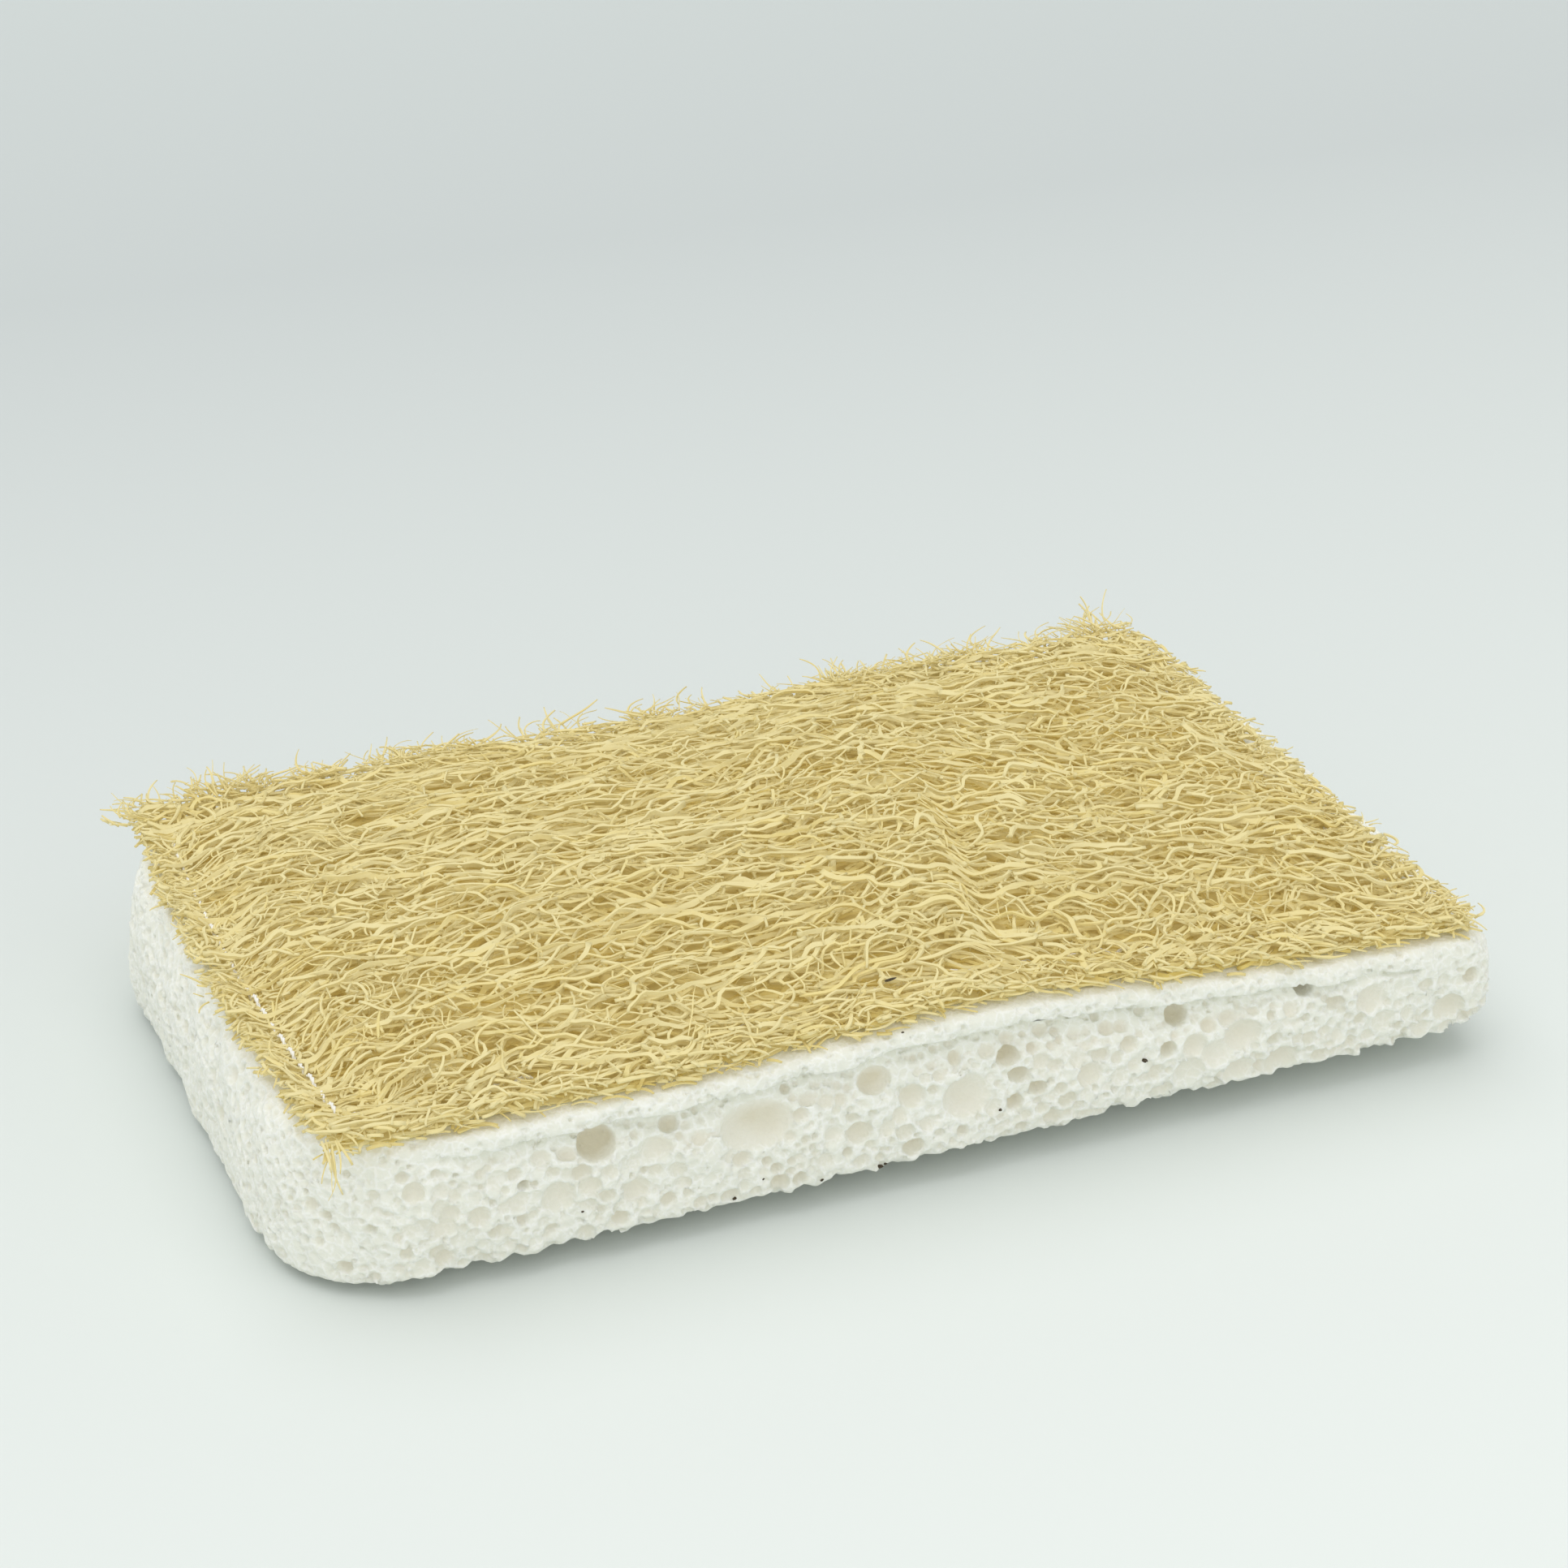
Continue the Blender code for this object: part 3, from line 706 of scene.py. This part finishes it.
def netForks(chance, gapLength, gapWidth):
    # scattered points whose cells are the gaps of the net: the strands run between the cells and fork
    # where three meet; gives each fork's place and the pairs of forks that a strand joins
    columns = int((shape["matLength"] + 16) / gapLength)
    rows = int((shape["matWidth"] + 34) / gapWidth)
    u, v = np.meshgrid(np.arange(columns), np.arange(rows), indexing="ij")
    u = u + 0.5 * (v % 2) + chance.uniform(-0.72, 0.72, u.shape)
    v = v + chance.uniform(-0.72, 0.72, v.shape)
    seeds = [Vector(place) for place in zip(u.ravel(), v.ravel())]
    corners, _, cells, *_ = delaunay_2d_cdt(seeds, [], [], 0, 1e-5)
    corners = np.array([tuple(c) for c in corners])
    cells = np.array(cells)
    forks = corners[cells].mean(1)
    forks = (forks - (np.array([columns, rows]) - 1) / 2) * (gapLength, gapWidth)
    owners = {}
    for i, cell in enumerate(cells):
        for a, b in ((0, 1), (1, 2), (2, 0)):
            owners.setdefault((min(cell[a], cell[b]), max(cell[a], cell[b])), []).append(i)
    return forks, {tuple(pair) for pair in owners.values() if len(pair) == 2}


def netChains(chance, gapLength, gapWidth):
    # joins the strands between forks into runs of up to nine forks that go on as straight as they can
    forks, unused = netForks(chance, gapLength, gapWidth)
    around = {}
    for a, b in unused:
        around.setdefault(a, []).append(b)
        around.setdefault(b, []).append(a)
    onward = {}
    for fork, others in around.items():
        ways = forks[others] - forks[fork]
        ways /= np.linalg.norm(ways, axis=1, keepdims=True)
        pairs = [(float(ways[i] @ ways[j]), others[i], others[j])
                 for i in range(len(others)) for j in range(i)]
        if pairs:
            _, a, b = min(pairs)
            onward[fork, a], onward[fork, b] = b, a
    chains = []
    for a, b in sorted(unused):
        if (a, b) not in unused:
            continue
        unused.discard((a, b))
        chain = [a, b]
        for _ in range(2):
            while len(chain) < 9:
                step = onward.get((chain[-1], chain[-2]))
                link = (min(step, chain[-1]), max(step, chain[-1])) if step is not None else None
                if link not in unused:
                    break
                unused.discard(link)
                chain.append(step)
            chain.reverse()
        chains.append(forks[chain])
    return chains


def smoothRun(corners, longestStep):
    # a smooth curve through the corners with even steps, and how far each point is from its nearest fork
    padded = np.concatenate([2 * corners[:1] - corners[1:2], corners, 2 * corners[-1:] - corners[-2:-1]])
    t = np.linspace(0, 1, 5)[:-1, None, None]
    a, b, c, d = padded[:-3], padded[1:-2], padded[2:-1], padded[3:]
    curve = 0.5 * (2 * b + (c - a) * t + (2 * a - 5 * b + 4 * c - d) * t**2 + (3 * b - a - 3 * c + d) * t**3)
    curve = np.concatenate([curve.transpose(1, 0, 2).reshape(-1, 2), corners[-1:]])
    run = np.concatenate([[0], np.cumsum(np.linalg.norm(np.diff(curve, axis=0), axis=1))])
    forkRuns = run[::4]
    even = np.linspace(0, run[-1], max(3, int(math.ceil(run[-1] / longestStep)) + 1))
    away = np.abs(even[:, None] - forkRuns[None, :]).min(1)
    return np.stack([np.interp(even, run, curve[:, 0]), np.interp(even, run, curve[:, 1]), away], 1)


def makeNet(chance, material, name, gapLength, gapWidth, pattern, share, level, thinnest, widest,
            longestStep):
    # nets with one pattern lie over each other, so that their gaps reach down through the mat
    halfX, halfY = shape["matLength"] / 2, shape["matWidth"] / 2
    common = np.random.default_rng(mat["seed"] + pattern)
    drift, sway = waves(common, 60, 20), waves(common, 40, 60)
    roam, stray = waves(chance, 12, 9), waves(chance, 3, 2.5)
    ripple, swell, fray = waves(chance, 10, 6), waves(chance, 8, 5), waves(chance, 2.2, 2.2)
    pieces = []
    for corners in netChains(common, gapLength, gapWidth):
        if chance.random() > share:
            continue
        run = smoothRun(corners + chance.normal(0, 0.12, corners.shape), longestStep)
        x, y = run[:, 0], run[:, 1]
        fan = -3.0 * ease((-x - 36) / 15) * ease((14 - y) / 30)  # strands fan out at the near left corner
        run[:, 0] = x + 1.2 * drift(x, y) + 0.2 * roam(y, x)
        right, near = creaseSide(x, y)
        kink = -1.4 * np.tanh(right / 2.2) * near
        run[:, 1] = y + 1.6 * sway(x, y) + 0.2 * roam(x, y) + 0.13 * stray(x, y) + fan + kink
        x, y = run[:, 0], run[:, 1]
        past = 0.8 * (x > 0) - 0.1 + 0.5 * fray(y, x)  # the right end reaches further over the foam
        inside = (abs(x) < halfX + past) & (abs(y) < halfY - 0.25 + 0.4 * fray(x, y))
        cuts = np.flatnonzero(np.diff(inside.astype(int))) + 1
        for part, kept in zip(np.split(run, cuts), np.split(inside, cuts)):
            if len(part) >= 3 and kept[0]:
                pieces.append(part)
    runs = padRows(pieces)
    x, y, away = runs[:, :, 0], runs[:, :, 1], runs[:, :, 2]
    count = len(runs)
    height = np.clip(level + 0.09 * ripple(x, y), 0.08, 1.05)
    widths = (thinnest + (widest - thinnest) * chance.random(count) ** 1.3)[:, None]
    short = np.clip((~np.isnan(x)).sum(1) * longestStep / 5.0, 0.5, 1)[:, None]
    webbed = 1 + 0.5 * np.exp(-((away / 0.5) ** 2))  # wider where the strands fork
    widths = np.minimum(widths * short * (0.85 + 0.18 * swell(x, y)) * webbed, mat["widestStrand"])
    return sweepTubes(name, onMat(x, y, height), widths, chance.uniform(0.1, 0.75, count), sunken(height),
                      chance.normal(0, 0.35, count), 4, material, mat["flatness"])


def makeFibres(chance, material, name, count, shortest, longest, thinnest, widest, lowest, highest,
               spread, curl, stepLength):
    # loose strands between and over the nets: each walks on, bends and dives at its ends
    halfX, halfY = shape["matLength"] / 2, shape["matWidth"] / 2
    slope, meander, ripple = waves(chance, 26, 15), waves(chance, 9, 5), waves(chance, 9, 4)
    length = shortest + (longest - shortest) * chance.random(count) ** 1.3
    steps = int(longest / stepLength) + 1
    x, y = chance.uniform(-halfX, halfX, count), chance.uniform(-halfY, halfY, count)
    start = chance.normal(0, spread, count)
    bends = chance.normal(0, curl, count)
    sway, often, phase = (chance.uniform(*between, count) for between in ((0.05, 0.35), (0.3, 1.1), (0, 6.3)))
    run = stepLength * np.arange(steps)
    plan = np.full((count, steps, 2), np.nan)
    alive = np.ones(count, bool)
    limitX = halfX + chance.uniform(-1.2, 0.9, count)
    limitY = halfY + chance.uniform(-0.9, 0.5, count)
    for k in range(steps):
        alive &= (abs(x) < limitX) & (abs(y) < limitY) & (run[k] <= length)
        plan[alive, k, 0], plan[alive, k, 1] = x[alive], y[alive]
        fan = 0.8 * ease((-x - 38) / 12) * ease((10 - y) / 30)
        way = start + 0.18 * slope(x, y) + 0.10 * meander(x, y) + fan + bends * run[k]
        way = way + sway * np.sin(often * run[k] + phase) - 0.9 * creaseShare(x, y, 2.6)
        x, y = x + stepLength * np.cos(way), y + stepLength * np.sin(way)
    x, y = plan[:, :, 0], plan[:, :, 1]
    whole = (np.maximum((~np.isnan(x)).sum(1) - 1, 1) * stepLength)[:, None]
    fromStart = np.broadcast_to(run[None, :], x.shape)
    fromEnd = np.maximum(whole - fromStart, 0)
    dive = chance.uniform(-0.45, 0.10, (count, 2))
    height = chance.uniform(lowest, highest, count)[:, None] + 0.08 * ripple(x, y)
    for away, depth in ((fromStart, dive[:, :1]), (fromEnd, dive[:, 1:])):
        height = height + np.maximum(0, 1 - away / 1.8) * depth
    height = np.clip(height, 0.06, 1.12)
    widths = (thinnest + (widest - thinnest) * chance.random(count) ** 1.7)[:, None]
    widths = widths * np.minimum(1, 0.45 + fromStart / 1.6) * np.minimum(1, 0.35 + fromEnd / 2.0)
    outside = np.maximum(np.maximum(abs(x) - halfX, abs(y) - halfY), 0)
    return sweepTubes(name, onMat(x, y, height, 0.5 * outside), widths, chance.uniform(0.05, 0.8, count),
                      sunken(height), chance.normal(0, 0.5, count), 4, material, mat["flatness"])


def makeBacking(material, chance):
    # the matted inner face of the loofah, close on the foam
    halfX, halfY = shape["matLength"] / 2 - 1.3, shape["matWidth"] / 2 - 0.9
    columns, rows = 72, 44
    xs, ys = (np.linspace(-half + 0.3, half - 0.3, n) for half, n in ((halfX, columns), (halfY, rows)))
    x, y = np.meshgrid(xs, ys, indexing="ij")
    wobble, ridges = waves(chance, 7, 2.6, 20), waves(chance, 9, 3)
    rim = np.minimum(halfX - abs(x), halfY - abs(y)) + 0.5 * ridges(y, x) - 0.5
    px, py = matPlace(x, y)
    px, py = px + 0.25 * wobble(y, x), py + 0.25 * wobble(x + 7, y)
    height = np.maximum(0.1, 0.13 * matThickness(x, y) + 0.08 * wobble(x, y)) * ease(rim / 0.8 + 0.2)
    upper = np.stack([px, py, seatHeight(px, py) + 0.1 + height], 2).reshape(-1, 3)
    lower = np.stack([px, py, seatHeight(px, py) + 0.02], 2).reshape(-1, 3)
    index = np.arange(columns * rows).reshape(columns, rows)
    face = np.stack([index[:-1, :-1], index[1:, :-1], index[1:, 1:], index[:-1, 1:]], 2).reshape(-1, 4)
    total = columns * rows
    border = np.concatenate([index[:, 0], index[-1, 1:], index[-2::-1, -1], index[0, -2:0:-1]])
    following = np.roll(border, -1)
    wall = np.stack([border + total, following + total, following, border], 1)
    faces = np.concatenate([face, face[:, ::-1] + total, wall])
    backing = meshObject("loofahBacking", np.concatenate([upper, lower]) / 1000, faces, material)
    setAttribute(backing, "tone", np.full(2 * total, 0.25))
    # the backing takes a share of the painted gold of the lower layers
    setAttribute(backing, "layerDepth", np.full(2 * total, 0.35))
    return backing


def makeEdgeFibres(chance, material):
    # cut ends all round, curls over the left end, fuzz that stands up along the back, and tufts
    halfX, halfY = shape["matLength"] / 2, shape["matWidth"] / 2
    patches = waves(chance, 9, 9)
    kinds = []

    def addKind(x, y, way, lengths, widths, heights, curl, rise, reach):
        n = len(x)
        kinds.append((x, y, way, chance.uniform(*lengths, n), chance.uniform(*widths, n),
                      chance.uniform(*heights, n), chance.normal(0, curl, n), rise + 0 * x,
                      reach * chance.uniform(0.2, 1.6, n)))

    for side in (-1, 1):
        n = edge["endStubs"]
        x = side * (halfX - chance.uniform(-0.1, 4.4, n)) + 0.7 * (side > 0)
        way = (0 if side > 0 else math.pi) + chance.normal(0, 0.95, n)
        addKind(x, chance.uniform(-halfY, halfY, n), way, (1.2, 4.2), (0.22, 0.50), (0.05, 1.0), 0.36, 0,
                edge["reach"] + 0.6 * (side > 0))
        n = edge["sideStubs"]
        y = side * (halfY - 4.0 * chance.random(n) ** 1.7 + 0.15)
        way = side * math.pi / 2 * (chance.random(n) < 0.12) + chance.normal(0, 0.38, n)
        addKind(chance.uniform(-halfX, halfX, n), y, way, (1.8, 5.5), (0.22, 0.50), (0.05, 0.95), 0.20, 0,
                edge["reach"])
    n = edge["leftCurls"]
    x = -halfX + 1 + 17 * chance.random(n) ** 1.3
    y = halfY * (1.9 * chance.random(n) ** 1.3 - 0.97)
    addKind(x, y, chance.uniform(-math.pi, math.pi, n), (1.8, 5.0), (0.18, 0.42), (0.6, 1.0), 0.30,
            chance.uniform(-0.08, 0.12, n), edge["reach"])
    n = edge["fuzz"]
    x = chance.uniform(-halfX, halfX, 3 * n)
    x = x[patches(x, 0 * x) + chance.normal(0, 0.6, 3 * n) > 0.1][:n]
    n = len(x)
    addKind(x, halfY - chance.uniform(0, 1.2, n), math.pi / 2 + chance.normal(0, 1.1, n), (1.2, 5.0),
            (0.16, 0.34), (0.4, 1.0), 0.6, chance.uniform(0.05, 0.45, n), 2.0)
    for x, y, way, scatter, n, length, lift in edge["tufts"]:
        addKind(x + chance.normal(0, 2.1 * scatter, n), y + chance.normal(0, 1.4 * scatter, n),
                way + chance.normal(0, scatter, n), (0.4 * length, length), (0.16, 0.34), (0.4, 1.1),
                0.55 * scatter, lift + chance.normal(0, 0.25 * scatter, n), 0.6 * length)
    kinds = [np.concatenate(part) for part in zip(*kinds)]
    x, y, way, length, width, height, curl, rise, reach = (values[:, None] for values in kinds)
    count, step = len(x), edge["step"]
    run = np.arange(int(length.max() / step) + 1)[None, :] * step
    turned = way + curl * run + 0.35 * np.sin(1.1 * run + 9 * height)
    px = x + np.cumsum(np.cos(turned), 1) * step
    py = y + np.cumsum(np.sin(turned), 1) * step
    outside = np.maximum(np.maximum(abs(px) - halfX, abs(py) - halfY), 0)
    places = onMat(px, py, height, np.where(rise == 0, 0.25 * outside, -rise * run))
    places[(run > length) | np.maximum.accumulate(outside > reach, axis=1)] = np.nan
    widths = width * (1 - 0.6 * np.clip(run / length, 0, 1) ** 2)
    # the edge fibres take half the painted gold of the lower layers
    depths = 0.5 * sunken(np.broadcast_to(height, px.shape) + 0.1)
    return sweepTubes("loofahEdgeFibres", places, widths, chance.uniform(0.1, 0.75, count), depths,
                      chance.normal(0, 0.5, count), 4, material, mat["flatness"])


def makeMat():
    chance = np.random.default_rng(mat["seed"])
    material = fibreMaterial()
    pieces = [makeBacking(material, chance)]
    pieces += [makeNet(chance, material, *net) for net in mat["nets"]]
    pieces += [makeFibres(chance, material, *fibres) for fibres in mat["fibres"]]
    pieces.append(makeEdgeFibres(chance, material))
    for piece in pieces:
        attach(piece, "root")
    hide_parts("loofah_pad")
    print("mat laid:", len(pieces), "pieces")


# Seam
seam = {
    "pitch": 2.5,
    "stitch": 2.1,
    "steps": 12,
    "thickness": 0.38,
    "twist": 0.9,
    "sinks": 0.4,
    "colour": "#F6F5EE",
}


def threadMaterial():
    # twisted polyester sewing thread: bright white with a slight gloss
    material, tree, shader = startMaterial("polyester sewing thread")
    shader.inputs["Base Color"].default_value = toLinear(seam["colour"])
    shader.inputs["Roughness"].default_value = 0.35
    return material


def seamRun():
    # plan points along each stitch of one closed line round the mat
    halfX = shape["matLength"] / 2 - shape["seamInsetEnd"]
    halfY = shape["matWidth"] / 2 - shape["seamInsetSide"]
    corners = [(-halfX, -halfY), (halfX, -halfY), (halfX, halfY), (-halfX, halfY)]
    stitches = []
    for i, (x0, y0) in enumerate(corners):
        x1, y1 = corners[(i + 1) % 4]
        length = math.dist((x0, y0), (x1, y1))
        count = round(length / seam["pitch"])
        for j in range(count):
            a, b = (j + 0.04) / count, (j + 0.96) / count
            shares = [a + (b - a) * k / seam["steps"] for k in range(seam["steps"] + 1)]
            stitches.append([(x0 + (x1 - x0) * share, y0 + (y1 - y0) * share) for share in shares])
    return np.array(stitches)


def makeStitches(name, above, node, material):
    plan = seamRun()
    x, y = matPlace(plan[:, :, 0], plan[:, :, 1])
    count, steps = x.shape
    share = np.linspace(0, 1, steps)[None, :]
    arch = np.sin(math.pi * share) ** 0.6
    if above:
        # tight stitches sink between the fibres, and show best near the left front corner
        shows = ((x < -50) & (y > -31) & (y < -6)).mean(1, keepdims=True)
        uneven = 0.5 + 0.5 * np.sin(12.9 * np.arange(count) ** 1.3)[:, None]
        sunk = seam["sinks"] * ((x.mean(1, keepdims=True) > -50) | (y.mean(1, keepdims=True) < -28.6))
        z = seatHeight(x, y) + 0.3 - sunk + arch * (0.5 + 0.3 * uneven + 0.45 * shows)
    else:
        z = footHeight(x, y) + 0.4 - 0.45 * arch
    along = np.stack([np.gradient(x, axis=1), np.gradient(y, axis=1)], 2)
    along /= np.linalg.norm(along, axis=2, keepdims=True)
    plies = []
    for ply in range(2):  # two plies twisted round each other
        turn = 2 * math.pi * (share * seam["stitch"] / seam["twist"]) + math.pi * ply
        out, up = seam["thickness"] / 4 * np.cos(turn), seam["thickness"] / 4 * np.sin(turn)
        plies.append(np.stack([x - along[:, :, 1] * out, y + along[:, :, 0] * out, z + up], 2))
    paths = np.concatenate(plies)
    widths = np.full(paths.shape[:2], seam["thickness"] * 0.62)
    obj = sweepTubes(name, paths, widths, np.full(2 * count, 0.5), np.zeros(paths.shape[:2]),
                     np.zeros(2 * count), 5, material, 0.5)
    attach(obj, "root")
    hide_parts(node)


# Dark specks: grit in the foam and one black fibre end, where the object has them
specks = {
    "seed": 5,
    "foam": (  # along the front face, up, radius
        (20.1, 8.2, 0.22), (-5.7, 2.9, 0.20), (5.8, 6.3, 0.12), (-19.6, 3.0, 0.15), (-11.3, 2.9, 0.12),
        (-5.2, 3.1, 0.12), (9.6, 3.0, 0.12), (-3.9, 16.3, 0.10), (-33.8, 5.5, 0.10), (-17.0, 4.5, 0.10)),
    "fibreEnd": (-3.4, -30.4, 0.66),  # x, y, half length
    "fibreEndRadius": 0.11,
    "colour": "#35291A",
    "dustColour": "#6A6355",
}


def gritMaterial():
    # plant dust and grit caught when the foam was cast
    material, tree, shader = startMaterial("dark grit")
    place = addNode(tree, "ShaderNodeTexCoord").outputs["Object"]
    mottle = addNode(tree, "ShaderNodeTexNoise", {"Vector": place, "Scale": 6000.0})
    tone = ramp(tree, mottle.outputs["Fac"], [(0.3, specks["colour"]), (0.7, specks["dustColour"])])
    tree.links.new(tone.outputs["Color"], shader.inputs["Base Color"])
    shader.inputs["Roughness"].default_value = 0.9
    shader.inputs["Specular IOR Level"].default_value = 0.1
    return material


def makeSpecks(block):
    chance = np.random.default_rng(specks["seed"])
    made = []
    bpy.context.view_layer.update()
    for x, z, radius in specks["foam"]:
        hit, place, *_ = block.ray_cast(Vector((x, -60, z)) / 1000, Vector((0, 1, 0)))
        if hit:
            made.append((place, (radius * 1.5, radius * 0.8, radius), 0.3 * chance.normal()))
    x, y, length = specks["fibreEnd"]
    top = (seatHeight(x, y) + matThickness(x, y) * 1.08 + 0.1) / 1000
    thin = specks["fibreEndRadius"]
    made.append((Vector((x / 1000, y / 1000, float(top))), (length, thin, thin), 0.12))
    bpy.ops.object.select_all(action="DESELECT")
    for place, radii, turn in made:
        bpy.ops.mesh.primitive_ico_sphere_add(subdivisions=2, radius=0.001, location=place)
        grain = bpy.context.object
        grain.scale = radii
        grain.rotation_euler = (0, 0, turn)
        for vertex in grain.data.vertices:
            vertex.co *= 1 + 0.18 * chance.normal()
    bpy.ops.object.select_all(action="DESELECT")
    grains = [o for o in bpy.data.objects if o.name.startswith("Icosphere")]
    for grain in grains:
        grain.select_set(True)
    bpy.context.view_layer.objects.active = grains[0]
    bpy.ops.object.join()
    bpy.ops.object.transform_apply(location=True, rotation=True, scale=True)
    grit = bpy.context.object
    grit.name = "darkSpecks"
    grit.data.materials.append(gritMaterial())
    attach(grit, "root")
    print("specks:", len(made))


setView()
setStage()
setLight()
print("stage set")
block = makeFoamBlock()
makeMat()
threadLook = threadMaterial()
makeStitches("needleStitches", True, "needle_thread", threadLook)
makeStitches("bobbinStitches", False, "bobbin_thread", threadLook)
print("seam sewn")
makeSpecks(block)
shown = [o for o in bpy.data.objects if o.type == "MESH" and not o.hide_render and not o.get("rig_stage")]
for piece in shown:
    piece.data.calc_loop_triangles()
print("triangles in all:", sum(len(piece.data.loop_triangles) for piece in shown),
      {piece.name: len(piece.data.loop_triangles) for piece in shown})
